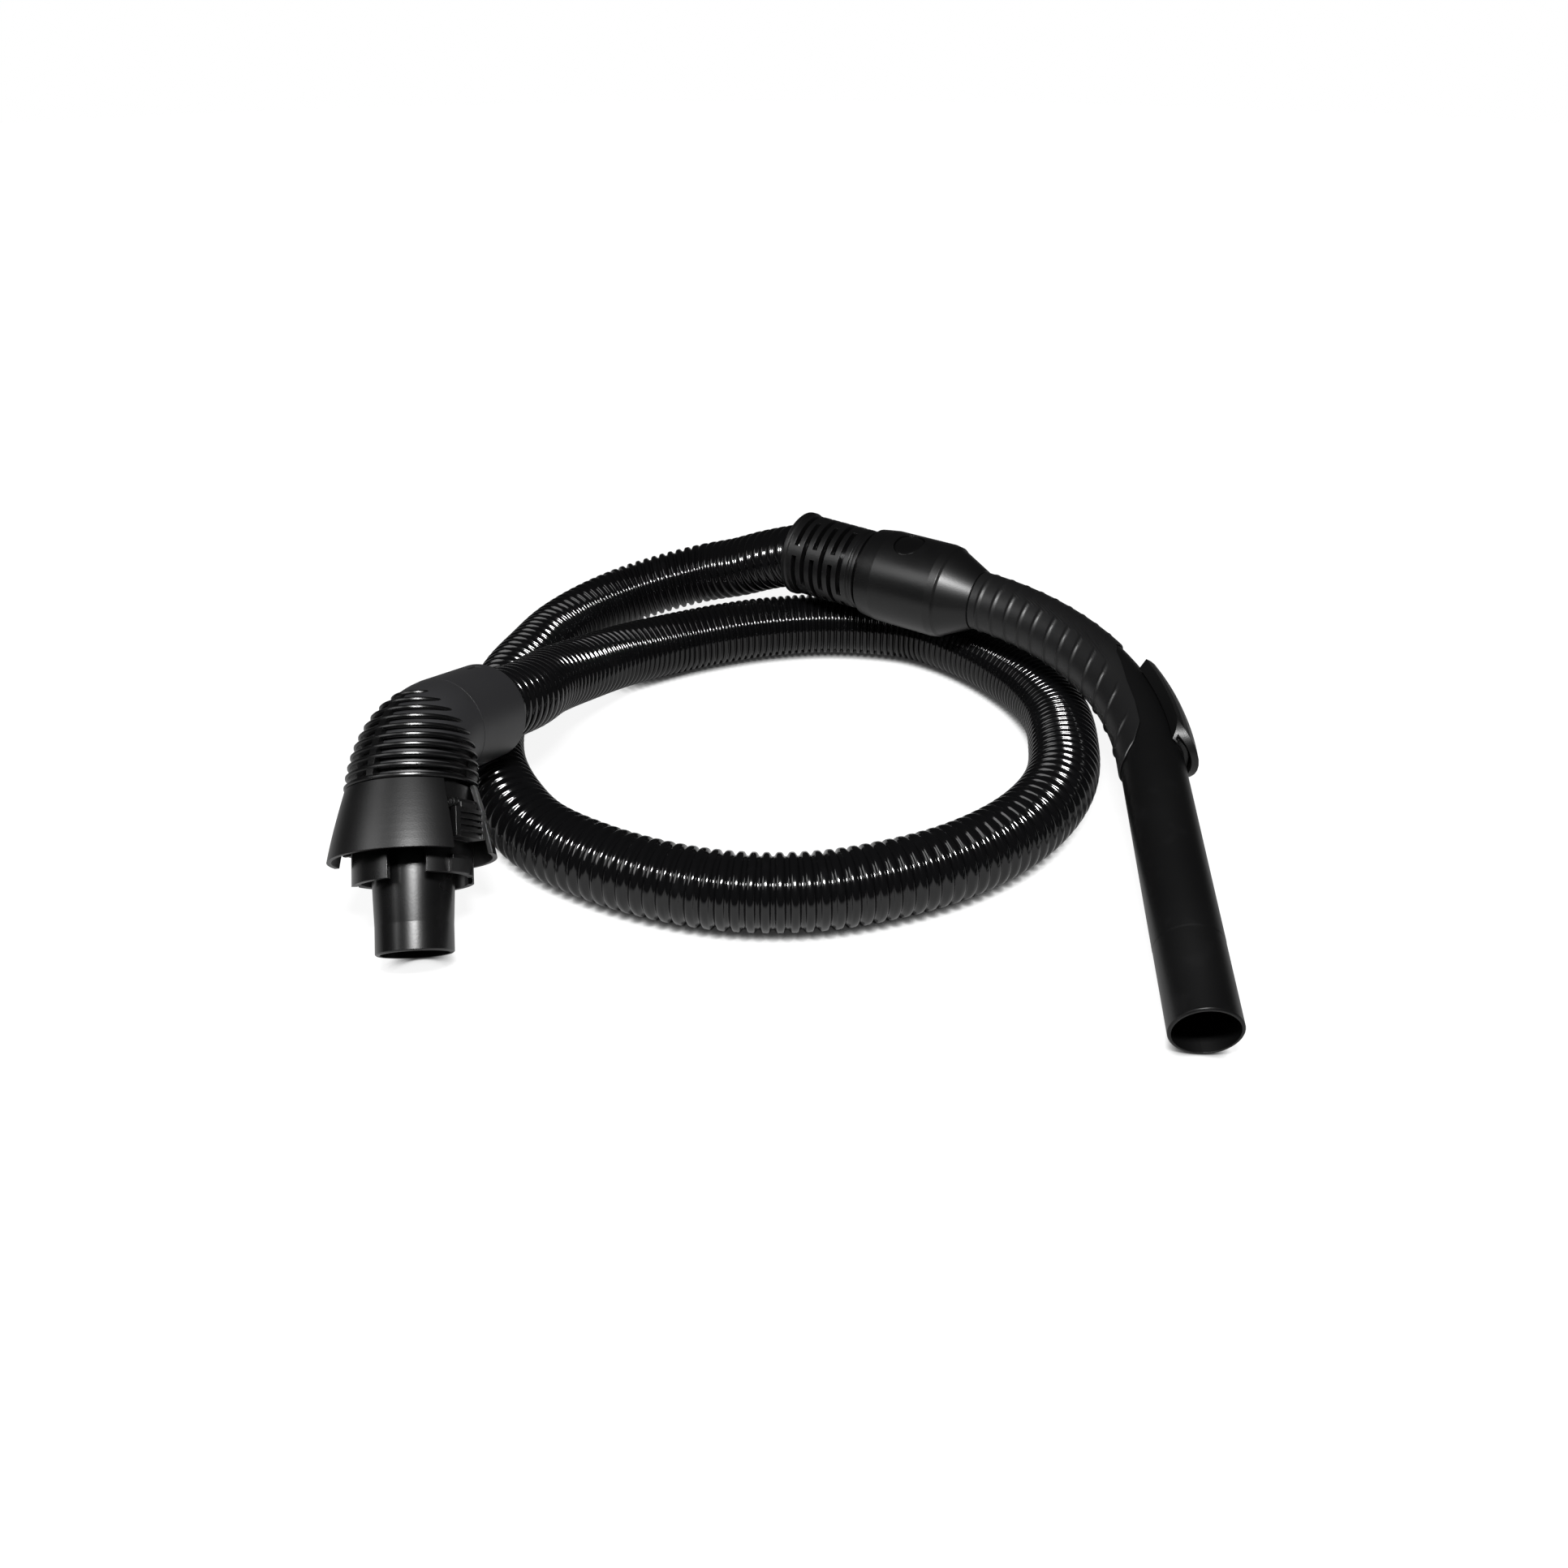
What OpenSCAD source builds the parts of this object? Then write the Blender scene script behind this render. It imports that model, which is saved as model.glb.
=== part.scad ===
// Hose of a canister vacuum cleaner: a swivelling machine-end elbow with two release levers,
// a ribbed hose laid in one loop, and a bent handle with a plain wand end.
// Millimetres. +Z is up and z = 0 is the floor that the whole hose lies on.

/* [Hose] */
// Outside diameter over the ribs
hose_od = 39; // [37:0.5:40]
// Bore
hose_bore = 31; // [28:0.5:32]
// Number of ribs from end to end
hose_ribs = 190; // [60:5:200]
// Depth of the grooves between the ribs
hose_groove = 2; // [1:0.25:2.5]

/* [Elbow] */
// Angle that the elbow turns the air through
elbow_bend = 65; // [60:1:70]
// Bend radius of the elbow's centre line
elbow_radius = 40; // [38:0.5:42]
// Outside diameter of the elbow pipe and its hose cuff
elbow_od = 49.5; // [48.5:0.25:50.5]
// Bore of the elbow pipe
elbow_bore = 32; // [29:0.5:33]
// From the crossing of the axes to the rim of the hose cuff
cuff_reach = 66.5; // [64:0.5:72]
// Depth that the hose goes into the cuff
cuff_depth = 30; // [26:0.5:31]
// Outside diameter of the swivel leg under the elbow
leg_od = 43.9; // [43:0.1:44.4]
// Length of the swivel leg below the bend
leg_length = 18.5; // [17:0.5:20]
// Radius of the ribbed hood at its base
hood_r = 30.5; // [29.5:0.25:31.5]
// Height of the hood's rounded outline
hood_height = 51; // [50:0.5:54]
// Sideways lean of the hood for each millimetre of height
hood_lean = 0.15; // [0.1:0.01:0.18]
// Number of ribs on the hood
hood_ribs = 10; // [7:1:10]
// Spacing of the hood's ribs
hood_pitch = 5; // [4.5:0.1:5.2]
// Thickness of one rib of the hood
hood_rib = 2; // [1.4:0.1:2.4]

/* [Machine coupling] */
// From the crossing of the axes to the mouth of the inlet pipe
inlet_reach = 101; // [96:0.5:110]
// Outside diameter of the inlet pipe's parallel end
inlet_od = 35.2; // [34:0.1:36]
// Outside diameter of the inlet pipe at its root
inlet_root_od = 38.4; // [37.5:0.1:39.5]
// Bore of the inlet pipe
inlet_bore = 31; // [29:0.5:31.5]
// Length of the parallel end of the inlet pipe
inlet_land = 13; // [10:0.5:18]
// Outside diameter of the collar's neck
collar_od = 55; // [54:0.25:56]
// Radius of the bell skirt at its top
skirt_top_r = 30; // [29.8:0.1:30.6]
// Radius of the bell skirt at its rim
skirt_rim_r = 38; // [37:0.25:40]
// Height of the bell skirt
skirt_height = 33; // [31.5:0.5:34]
// Wall of the bell skirt
skirt_wall = 2.2; // [1.8:0.1:2.3]
// Half of the angle that one skirt panel covers
skirt_half = 70; // [64:1:72]
// Half of the angle of a release lever's thumb pad
pad_half = 16; // [13:1:17]
// Half of the angle of a release lever's leg
latch_half = 36; // [30:1:38]
// Turn of the levers and the skirt panels about the inlet's axis
latch_turn = -4; // [-8:1:4]
// Diameter of a lever's pivot pin
latch_pin_d = 2.4; // [2:0.1:2.6]

/* [Handle] */
// Length of the slotted cuff in front of the housing
guard_length = 52; // [48:0.5:56]
// Outside diameter of the slotted cuff at the housing
guard_od = 49.6; // [49:0.1:51]
// Outside diameter of the slotted cuff's mouth ring
guard_ring_od = 53; // [52:0.25:54]
// Columns of slots along the cuff
slot_columns = 6; // [3:1:6]
// Slots round the cuff in one column
slots_round = 3; // [3:1:6]
// Outside diameter of the swivel neck inside the housing
neck_od = 42.8; // [42:0.1:43.4]
// Largest outside diameter of the housing
housing_od = 57; // [56:0.25:59]
// Length of the housing's barrel
housing_length = 56; // [53:0.5:60]
// Length of the housing's cone
cone_length = 18; // [15:0.5:20]
// Outside diameter of the handle pipe
pipe_od = 32.2; // [32:0.1:33]
// Outside diameter of the parallel end that goes into a wand
wand_od = 32; // [31:0.1:32]
// Length of that parallel end
wand_land = 45; // [35:1:60]
// Wall of the handle pipe
pipe_wall = 1.6; // [1.4:0.1:2]
// Bend radius of the handle
handle_radius = 172; // [166:1:178]
// Angle of the handle's bend
handle_bend = 60.5; // [57:0.5:63]
// Length of the straight wand end
wand_length = 172; // [160:1:190]
// Outside diameter of the soft grip between its ridges
grip_od = 34.6; // [34.4:0.1:35.6]
// Number of ridges on the grip
grip_ridges = 12; // [6:1:13]
// Height of the grip's ridges
ridge_height = 0.8; // [0.5:0.1:1.2]
// Length of the air slider along the handle's centre line
slider_length = 62; // [56:0.5:66]
// Radius of the air slider's top round the handle's centre line
slider_top = 23; // [22.4:0.1:24]
// Travel of the air slider along the handle's centre line
slider_travel = 10; // [6:0.5:11]
// Diameter of the round lock button
button_d = 17; // [14:0.5:18]
// How far the lock button is longer than it is wide
button_stretch = 4; // [2:0.5:5]
// Travel of the lock button
button_travel = 2.5; // [1.5:0.1:2.8]

/* [Fits] */
// Radial clearance of the turning and sliding fits
running = 0.05; // [0.02:0.01:0.08]
// Clearance between pieces that are assembled and don't move
seat = 0.1; // [0.05:0.01:0.15]
// Clearance between faces that move past each other
air = 0.4; // [0.3:0.05:0.5]

/* [Hidden] */

black = "#1d1d1f";
gloss = "#161618";
soft = "#242426";
steel = "#b9bcc0";
$fn = 64;
eps = 0.01;

// ---- places ----
function about_x(v, a) = [v.x, v.y * cos(a) - v.z * sin(a), v.y * sin(a) + v.z * cos(a)];
function about_y(v, a) = [v.x * cos(a) + v.z * sin(a), v.y, v.z * cos(a) - v.x * sin(a)];
function about_z(v, a) = [v.x * cos(a) - v.y * sin(a), v.x * sin(a) + v.y * cos(a), v.z];
function turned(v, a) = about_z(about_y(about_x(v, a.x), a.y), a.z);
// height at which a round edge of radius r, square to the direction d, just meets the floor
function edge_height(d, r) = r * sqrt(1 - d.z * d.z);

// the shift that brings the origin under the middle of the two ends
home = [-2.1, -5.9, 0];
edge = 0.6;

// machine end: the elbow's own frame has the axes crossing at its origin, the inlet pipe
// along -Z and the hose cuff leaning towards +X
elbow_turn = [-25, 39, 60];
inlet_dir = turned([0, 0, -1], elbow_turn);
elbow_z = edge_height(inlet_dir, inlet_od / 2) - (inlet_reach - edge) * inlet_dir.z;
elbow_at = [-176, -73, elbow_z] + home;
cuff_dir = turned([sin(elbow_bend), 0, cos(elbow_bend)], elbow_turn);

// handle end: the handle's own frame has the mouth of the slotted cuff at its origin, the
// housing along +X, the bend towards -Y and the lock button on +Z
handle_turn = [12, 0.4, -34];
bend_start = guard_length + 2 + housing_length + cone_length - 7;
bend_end = [bend_start + handle_radius * sin(handle_bend), handle_radius * (cos(handle_bend) - 1), 0];
wand_way = [cos(handle_bend), -sin(handle_bend), 0];
wand_dir = turned(wand_way, handle_turn);
tip = turned(bend_end + (wand_length - edge) * wand_way, handle_turn);
handle_z = edge_height(wand_dir, wand_od / 2) - tip.z;
handle_at = [12, 192, handle_z] + home;
housing_dir = turned([1, 0, 0], handle_turn);

module at_elbow() { translate(elbow_at) rotate(elbow_turn) children(); }
module at_latches() { at_elbow() rotate([0, 0, latch_turn]) children(); }
module at_cuff() { at_elbow() rotate([0, elbow_bend, 0]) children(); }
module at_handle() { translate(handle_at) rotate(handle_turn) children(); }
// turns a revolved shape so that its axis runs along the housing
module along_housing(x = 0) { translate([x, 0, 0]) rotate([0, 90, 0]) children(); }
// the wand end's frame: +X runs along the pipe and +Y out of the bend
module at_wand(x = 0) { translate(bend_end) rotate([0, 0, -handle_bend]) translate([x, 0, 0]) children(); }

// ---- shared shapes ----
module tube(r_out, r_in, z_low, z_high) {
  translate([0, 0, z_low]) difference() {
    cylinder(r = r_out, h = z_high - z_low);
    translate([0, 0, -1]) cylinder(r = r_in, h = z_high - z_low + 2);
  }
}
// the solid of a revolved outline of [radius, height] points
module turned_outline(points) { rotate_extrude($fn = 96) polygon(points); }
// keeps the part of its children within half degrees of the direction middle
module sector(middle, half, reach = 60, low = -110, high = 10) {
  steps = 6;
  intersection() {
    children();
    rotate([0, 0, middle]) translate([0, 0, low]) linear_extrude(high - low)
      polygon(concat([[0, 0]], [for (i = [0 : steps])
        reach * [cos(half * (2 * i / steps - 1)), sin(half * (2 * i / steps - 1))]]));
  }
}

// ---- hose ----
hose_end = cuff_reach - cuff_depth;
guard_seat = 8;
guard_hose_x = guard_length - guard_seat;
function on_cuff(d) = elbow_at + d * cuff_dir;
function on_housing(x) = handle_at + x * housing_dir;
lie = hose_od / 2;
route = concat(
  [on_cuff(hose_end), on_cuff(hose_end + hose_od / 2), on_cuff(hose_end + hose_od)],
  [for (p = [
    [-142, 28, 52], [-136, 62, 42], [-123, 96, 32], [-102, 130, 24], [-73, 156, lie],
    [-41, 171, lie], [-10, 181, lie], [24, 186, lie], [56, 184, lie], [86, 176, lie],
    [110, 158, lie], [132, 132, lie], [150, 99, lie], [159, 62, lie], [157, 25, lie],
    [150, -7, lie], [136, -35, lie], [114, -61, lie], [84, -83, lie], [50, -98, lie],
    [14, -107, lie], [-24, -107, lie], [-60, -98, lie], [-94, -82, lie], [-124, -60, lie],
    [-145, -30, lie], [-160, 3, lie], [-168, 38, lie], [-170, 75, lie], [-167, 110, lie],
    [-159, 141, lie], [-149, 173, lie], [-131, 201, 21], [-106, 221, 25], [-78, 227, 32],
    [-53, 228, 38], [-30, 219, 46], [-8, 206, 57]
  ]) p + home],
  [on_housing(guard_hose_x - hose_od), on_housing(guard_hose_x - hose_od / 2), on_housing(guard_hose_x)]
);

// a smooth line through the route: a cubic between each two points, with end directions kept
function slope(k) = k == 0 ? route[1] - route[0]
  : k == len(route) - 1 ? route[k] - route[k - 1]
  : (route[k + 1] - route[k - 1]) / 2;
function between(k, u) =
  let (a = route[k], b = route[k + 1], ta = slope(k), tb = slope(k + 1), u2 = u * u, u3 = u2 * u)
  (2 * u3 - 3 * u2 + 1) * a + (u3 - 2 * u2 + u) * ta + (3 * u2 - 2 * u3) * b + (u3 - u2) * tb;
parts_of_span = 10;
line = concat([for (k = [0 : len(route) - 2]) for (i = [0 : parts_of_span - 1]) between(k, i / parts_of_span)],
  [route[len(route) - 1]]);
lengths = [for (i = 0, s = 0; i < len(line); i = i + 1, s = i < len(line) ? s + norm(line[i] - line[i - 1]) : s) s];
hose_length = lengths[len(lengths) - 1];
along = [for (axis = [0 : 2]) [for (i = [0 : len(line) - 1]) [lengths[i], line[i][axis]]]];
function at_length(s) = [for (axis = [0 : 2]) lookup(s, along[axis])];
function heading(s) =
  let (a = at_length(max(s - 2, 0)), b = at_length(min(s + 2, hose_length))) (b - a) / norm(b - a);

// a ring of points round the route, the first of them straight below the centre
sides = 8;
function ring(s, r) =
  let (t = heading(s), u = cross([0, 0, 1], t) / norm(cross([0, 0, 1], t)), v = cross(t, u), c = at_length(s))
  [for (i = [0 : sides - 1]) c + r * (sin(360 * i / sides) * u - cos(360 * i / sides) * v)];
rib_step = hose_length / (2 * hose_ribs);
// ridges and grooves alternate, and both ends finish on a ridge
outer_rings = [for (i = [0 : 2 * hose_ribs]) ring(i * rib_step, hose_od / 2 - (i % 2 == 0 ? 0 : hose_groove))];
bore_count = 100;
bore_rings = [for (i = [0 : bore_count]) ring(i * hose_length / bore_count, hose_bore / 2)];
// triangles between rings of n points that follow each other, and between an outer and an inner end ring
function skin(n, first, count, flip) = [for (k = [0 : count - 2]) for (i = [0 : n - 1])
  let (j = (i + 1) % n, a = first + k * n + i, b = first + k * n + j)
  for (f = flip ? [[a, a + n, b], [b, a + n, b + n]] : [[a, b, a + n], [b, b + n, a + n]]) f];
function lid(n, first, inner, flip) = [for (i = [0 : n - 1])
  let (j = (i + 1) % n)
  for (f = flip ? [[first + i, first + j, inner + i], [first + j, inner + j, inner + i]]
                : [[first + i, inner + i, first + j], [first + j, inner + i, inner + j]]) f];
// a hollow body between outer rings and bore rings
module ringed_body(n, outer, bore) {
  inner = len(outer) * n;
  polyhedron(points = concat([for (r = outer) for (p = r) p], [for (r = bore) for (p = r) p]),
    faces = concat(skin(n, 0, len(outer), false), skin(n, inner, len(bore), true),
      lid(n, 0, inner, false), lid(n, inner - n, inner + (len(bore) - 1) * n, true)));
}

// least distance between stretches of the hose that pass each other, measured on points
gap_steps = 170;
gap_points = [for (i = [0 : gap_steps]) at_length(i * hose_length / gap_steps)];
far_apart = ceil(4 * hose_od * gap_steps / hose_length);
self_gap = min([for (i = [0 : gap_steps - far_apart]) for (j = [i + far_apart : gap_steps])
  norm(gap_points[i] - gap_points[j])]) - hose_od;
echo(hose_length = hose_length, rib_pitch = 2 * rib_step, least_gap_to_itself = self_gap);

module hose() { color(gloss) ringed_body(sides, outer_rings, bore_rings); }

// where a bend runs into a straight pipe they share this length, and the bend's wall is this much
// thinner on each side
lap = 0.5;
lap_step = 0.1;

// ---- elbow ----
bend_reach = elbow_radius * tan(elbow_bend / 2);
leg_end = -bend_reach - leg_length;
cuff_floor = hose_end - 6;
cuff_bore_r = hose_od / 2 + 2.5;
module elbow_sweep(r_out, r_in = 0) {
  translate([elbow_radius, 0, -bend_reach]) rotate([90, 0, 0]) rotate([0, 0, 180 - elbow_bend])
    rotate_extrude(angle = elbow_bend) translate([elbow_radius, 0]) difference() {
      circle(r = r_out);
      if (r_in > 0) circle(r = r_in);
    }
}
// clip groove round the swivel leg, the clip sits in it and in the collar's own groove
clip_z = leg_end + 8;
clip_thick = 2.2;
clip_groove = 1.9;
module elbow_pipe() {
  rim_round = 2.2;
  cuff_r = elbow_od / 2;
  bore_r = elbow_bore / 2;
  color(black) at_elbow() difference() {
    union() {
      elbow_sweep(cuff_r - lap_step, bore_r + lap_step);
      rotate([0, elbow_bend, 0]) turned_outline([[bore_r, bend_reach - lap], [cuff_r, bend_reach - lap],
        [cuff_r, cuff_reach - rim_round], [cuff_r - 0.3 * rim_round, cuff_reach - 0.3 * rim_round],
        [cuff_r - rim_round, cuff_reach], [cuff_bore_r, cuff_reach], [cuff_bore_r, cuff_floor],
        [bore_r, cuff_floor]]);
      turned_outline([[bore_r, leg_end], [leg_od / 2, leg_end], [leg_od / 2, clip_z],
        [leg_od / 2 - clip_groove, clip_z], [leg_od / 2 - clip_groove, clip_z + clip_thick + 2 * seat],
        [leg_od / 2, clip_z + clip_thick + 2 * seat], [leg_od / 2, lap - bend_reach], [bore_r, lap - bend_reach]]);
    }
    socket_window();
  }
}
// the window in the cuff that the socket's tab snaps into
tab_at = 12;
tab_length = 8;
tab_width = 3.4;
tab_side = 200;
module socket_window() {
  rotate([0, elbow_bend, 0]) rotate([0, 0, tab_side])
    translate([cuff_bore_r - 1, -tab_width / 2 - seat, cuff_reach - tab_at - tab_length / 2 - seat])
      cube([elbow_od, tab_width + 2 * seat, tab_length + 2 * seat]);
}
module socket_tab() {
  color(black) at_cuff() rotate([0, 0, tab_side]) intersection() {
    translate([cuff_bore_r + seat, -tab_width / 2, cuff_reach - tab_at - tab_length / 2])
      cube([elbow_od, tab_width, tab_length]);
    cylinder(r = elbow_od / 2 - 0.4, h = cuff_reach);
  }
}
// threaded socket that holds the hose in the cuff, with the shoulder that the hose butts on
module hose_socket(bore, outer) {
  shoulder = 6 - seat;
  difference() {
    translate([0, 0, -shoulder]) cylinder(r = outer, h = shoulder + cuff_depth - 4);
    translate([0, 0, -shoulder - 1]) cylinder(r = bore, h = shoulder + cuff_depth);
    cylinder(r = hose_od / 2 + 0.3, h = cuff_depth);
  }
}
module hose_socket_inlet() {
  color(gloss) at_cuff() translate([0, 0, hose_end]) hose_socket(elbow_bore / 2, cuff_bore_r - seat);
}

// ribbed hood over the outside of the bend: flat ribs on a spine
hood_base = -bend_reach + 0.9;
function hood_radius(z) = hood_r * sqrt(max(0, 1 - pow((z - hood_base) / hood_height, 2)));
function hood_shift(z) = hood_lean * (z - hood_base);
module elbow_hood() {
  spine = 3.6;
  spine_steps = 14;
  spine_top = hood_base + (hood_ribs - 1) * hood_pitch + hood_rib;
  spine_line = [for (i = [0 : spine_steps]) hood_base + (spine_top - hood_base) * i / spine_steps];
  color(black) at_elbow() difference() {
    union() {
      for (i = [0 : hood_ribs - 1]) {
        z = hood_base + i * hood_pitch;
        translate([hood_shift(z + hood_rib / 2), 0, z]) hood_disc(hood_radius(z + hood_rib / 2));
      }
      translate([0, spine / 2, 0]) rotate([90, 0, 0]) linear_extrude(spine)
        polygon(concat([for (z = spine_line) [hood_shift(z) - hood_radius(z) + 0.5, z]],
          [[elbow_radius / 2, spine_top], [elbow_radius / 2, hood_base]]));
    }
    elbow_sweep(elbow_od / 2 + seat - lap_step);
    rotate([0, elbow_bend, 0]) translate([0, 0, bend_reach - lap])
      cylinder(r = elbow_od / 2 + seat, h = cuff_reach);
  }
}
// a disc with its edge rounded off
module hood_disc(r) {
  trim = 0.3 * hood_rib;
  turned_outline([[0, 0], [r - trim, 0], [r, trim], [r, hood_rib - trim], [r - trim, hood_rib], [0, hood_rib]]);
}

// ---- machine coupling ----
collar_top = -bend_reach - air;
collar_bore_r = leg_od / 2 + running;
seal_gap = 0.3;
seal_thick = 2.4;
collar_shoulder = leg_end - seal_gap - seal_thick - seat;
collar_floor = collar_shoulder - 2.2;
clip_room = clip_groove - 0.15;
module latch_collar() {
  color(black) at_elbow() difference() {
    union() {
      tube(collar_od / 2, collar_bore_r, collar_shoulder - eps, collar_top);
      tube(collar_od / 2, inlet_bore / 2 + 1.5, collar_floor, collar_shoulder);
      rotate([0, 0, latch_turn]) for (side = [-1, 1]) for (end = [-1, 1]) lever_ear(side, end);
    }
    tube(collar_bore_r + clip_room, collar_bore_r - 1, clip_z, clip_z + clip_thick + 2 * seat);
    rotate([0, 0, latch_turn]) for (side = [-1, 1]) translate([0, side * pivot_r, pivot_z])
      rotate([0, 90, 0]) cylinder(r = latch_pin_d / 2 + 0.02, h = 40, center = true);
  }
}
// pivot line of the two release levers, and the ears that hold their pins
pivot_r = collar_od / 2 + 2.3;
pivot_z = collar_top - 10;
barrel_r = latch_pin_d / 2 + 1.1;
barrel_half = 5.2;
ear_thick = 2.6;
module lever_ear(side, end) {
  inner = barrel_half + air;
  x_low = end > 0 ? inner : -inner - ear_thick;
  depth = collar_od / 2 - 3;
  translate([x_low, side > 0 ? depth : -pivot_r, pivot_z - barrel_r])
    cube([ear_thick, pivot_r - depth, 2 * barrel_r]);
  translate([x_low, side * pivot_r, pivot_z]) rotate([0, 90, 0]) cylinder(r = barrel_r, h = ear_thick);
}
module latch_pins() {
  color(steel) at_latches() for (side = [-1, 1]) translate([0, side * pivot_r, pivot_z])
    rotate([0, 90, 0]) cylinder(r = latch_pin_d / 2, h = 2 * (barrel_half + air + ear_thick), center = true);
}
module leg_seal() {
  color(soft) at_elbow()
    tube(collar_bore_r - seat, inlet_bore / 2 + 1.2, collar_shoulder + seat, leg_end - seal_gap);
}
// split ring that keeps the elbow's leg in the collar
module retaining_clip() {
  inner = leg_od / 2 - clip_groove + 0.15;
  outer = collar_bore_r + clip_room - seat;
  color(steel) at_elbow() difference() {
    tube(outer, inner, clip_z + seat, clip_z + seat + clip_thick);
    translate([inner - 1, -2, clip_z]) cube([8, 4, 2 * clip_thick]);
  }
}
inlet_flange = 2.4;
guide_in = 24.6;
guide_out = 27.3;
guide_length = 18;
module inlet_pipe() {
  root_z = collar_floor - inlet_flange;
  flange_r = 22.3;
  tip_z = -inlet_reach;
  color(black) at_elbow() difference() {
    union() {
      turned_outline([[0, tip_z], [inlet_od / 2 - edge, tip_z], [inlet_od / 2, tip_z + edge],
        [inlet_od / 2, tip_z + inlet_land], [inlet_root_od / 2, root_z], [flange_r, root_z],
        [flange_r, collar_floor], [0, collar_floor]]);
      for (middle = [164, 344]) sector(middle, 30) {
        tube(guide_out, flange_r - 1, root_z, collar_floor);
      }
      for (middle = [164, 344]) sector(middle, 30)
        tube(guide_out, guide_in, root_z - guide_length, root_z + eps);
    }
    translate([0, 0, tip_z - 1]) cylinder(r = inlet_bore / 2, h = inlet_reach + 1);
  }
}
// bell skirt: one panel over the front of the coupling and one over its back
skirt_top = collar_top + 0.9;
skirt_steps = 9;
function skirt_r(t) = skirt_top_r + (skirt_rim_r - skirt_top_r) * (0.25 * sin(90 * t) + 0.75 * t);
module skirt_panel(middle) {
  rim_z = skirt_top - skirt_height;
  plate_z = collar_floor + 3;
  plate_t = (skirt_top - plate_z) / skirt_height;
  sector(middle, skirt_half) {
    union() {
      turned_outline(concat(
        [for (i = [0 : skirt_steps]) [skirt_r(i / skirt_steps), skirt_top - skirt_height * i / skirt_steps]],
        [for (i = [skirt_steps : -1 : 0])
          [skirt_r(i / skirt_steps) - skirt_wall, skirt_top - skirt_height * i / skirt_steps]]));
      tube(skirt_r(plate_t) - skirt_wall / 2, collar_od / 2 + seat, plate_z, plate_z + 2);
    }
  }
}
module front_skirt() { color(black) at_latches() skirt_panel(180); }
module rear_skirt() { color(black) at_latches() skirt_panel(0); }

// release lever: a ribbed thumb pad hung on a pin, and a leg with a hook below it
pad_in = collar_od / 2 + 3.7;
pad_out = pad_in + 2.8;
pad_ribs = 3;
shelf_top = collar_floor - 1.2;
shelf_thick = 2;
leg_in = 24.3;
leg_out = 27;
leg_low = shelf_top - 17;
hook_out = 30;
module release_lever(side) {
  middle = 90 * side;
  pad_top = pivot_z - barrel_r - air;
  pad_height = pad_top - shelf_top;
  rib_gap = (pad_height - 3) / pad_ribs;
  color(black) at_latches() difference() {
    union() {
      translate([0, side * pivot_r, pivot_z]) rotate([0, 90, 0])
        cylinder(r = barrel_r, h = 2 * barrel_half, center = true);
      intersection() {
        sector(middle, pad_half) tube(pad_out, pad_in, shelf_top - shelf_thick, pad_top);
        sector(middle, pad_half - 0.5) translate([0, 0, -100]) cylinder(r = 60, h = 100);
      }
      translate([-barrel_half, side > 0 ? pivot_r : -pad_out + 0.6, pad_top - 1])
        cube([2 * barrel_half, pad_out - 0.6 - pivot_r, pivot_z - pad_top + 1]);
      for (i = [0 : pad_ribs]) sector(middle, pad_half - 2)
        tube(pad_out + 1.5, pad_out - 1, shelf_top + 0.6 + i * rib_gap, shelf_top + 2 + i * rib_gap);
      for (end = [-1, 1]) sector(middle + end * (pad_half - 2), 2)
        tube(pad_out + 1.5, pad_out - 1, shelf_top - shelf_thick, pad_top);
      sector(middle, pad_half) tube(pad_out, leg_in, shelf_top - shelf_thick, shelf_top);
      sector(middle, latch_half) tube(leg_out, leg_in, leg_low, shelf_top);
      sector(middle, 13) turned_outline([[leg_out - 1, leg_low], [leg_out + 1.2, leg_low],
        [hook_out, leg_low + 6], [hook_out, leg_low + 7.5], [leg_out - 1, leg_low + 8.5]]);
    }
    translate([0, side * pivot_r, pivot_z]) rotate([0, 90, 0])
      cylinder(r = latch_pin_d / 2 + running, h = 40, center = true);
  }
}
module release_lever_right() { release_lever(-1); }
module release_lever_left() { release_lever(1); }
// bent steel strip between the collar and the back of a lever's pad
module latch_spring(side) {
  strip = 0.5;
  width = 6;
  near = collar_od / 2 + 0.15;
  far = pad_in - 0.5;
  top = pivot_z - 5;
  foot = shelf_top + 2;
  color(steel) at_latches() mirror([0, side < 0 ? 1 : 0, 0]) translate([-width / 2, 0, 0])
    rotate([90, 0, 90]) linear_extrude(width)
      polygon([[near, top], [near, top - 4], [far - strip, foot], [far, foot],
        [near + strip, top - 4], [near + strip, top]]);
}
module latch_spring_right() { latch_spring(-1); }
module latch_spring_left() { latch_spring(1); }

// ---- handle front: slotted cuff, swivel and housing ----
guard_bore_r = hose_od / 2 + 1.5;
guard_wall_r = guard_od / 2;
neck_length = 16;
neck_bore_r = hose_bore / 2 + 1.5;
neck_clip_x = guard_length + 10;
neck_clip_thick = 2.2;
neck_groove = 1.8;
neck_seal_x = guard_length + 3.5;
neck_seal_thick = 2.6;
slot_pitch = 6.6;
slot_wide = 3.2;
slot_first = 7.5;
slot_share = 0.875;
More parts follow.
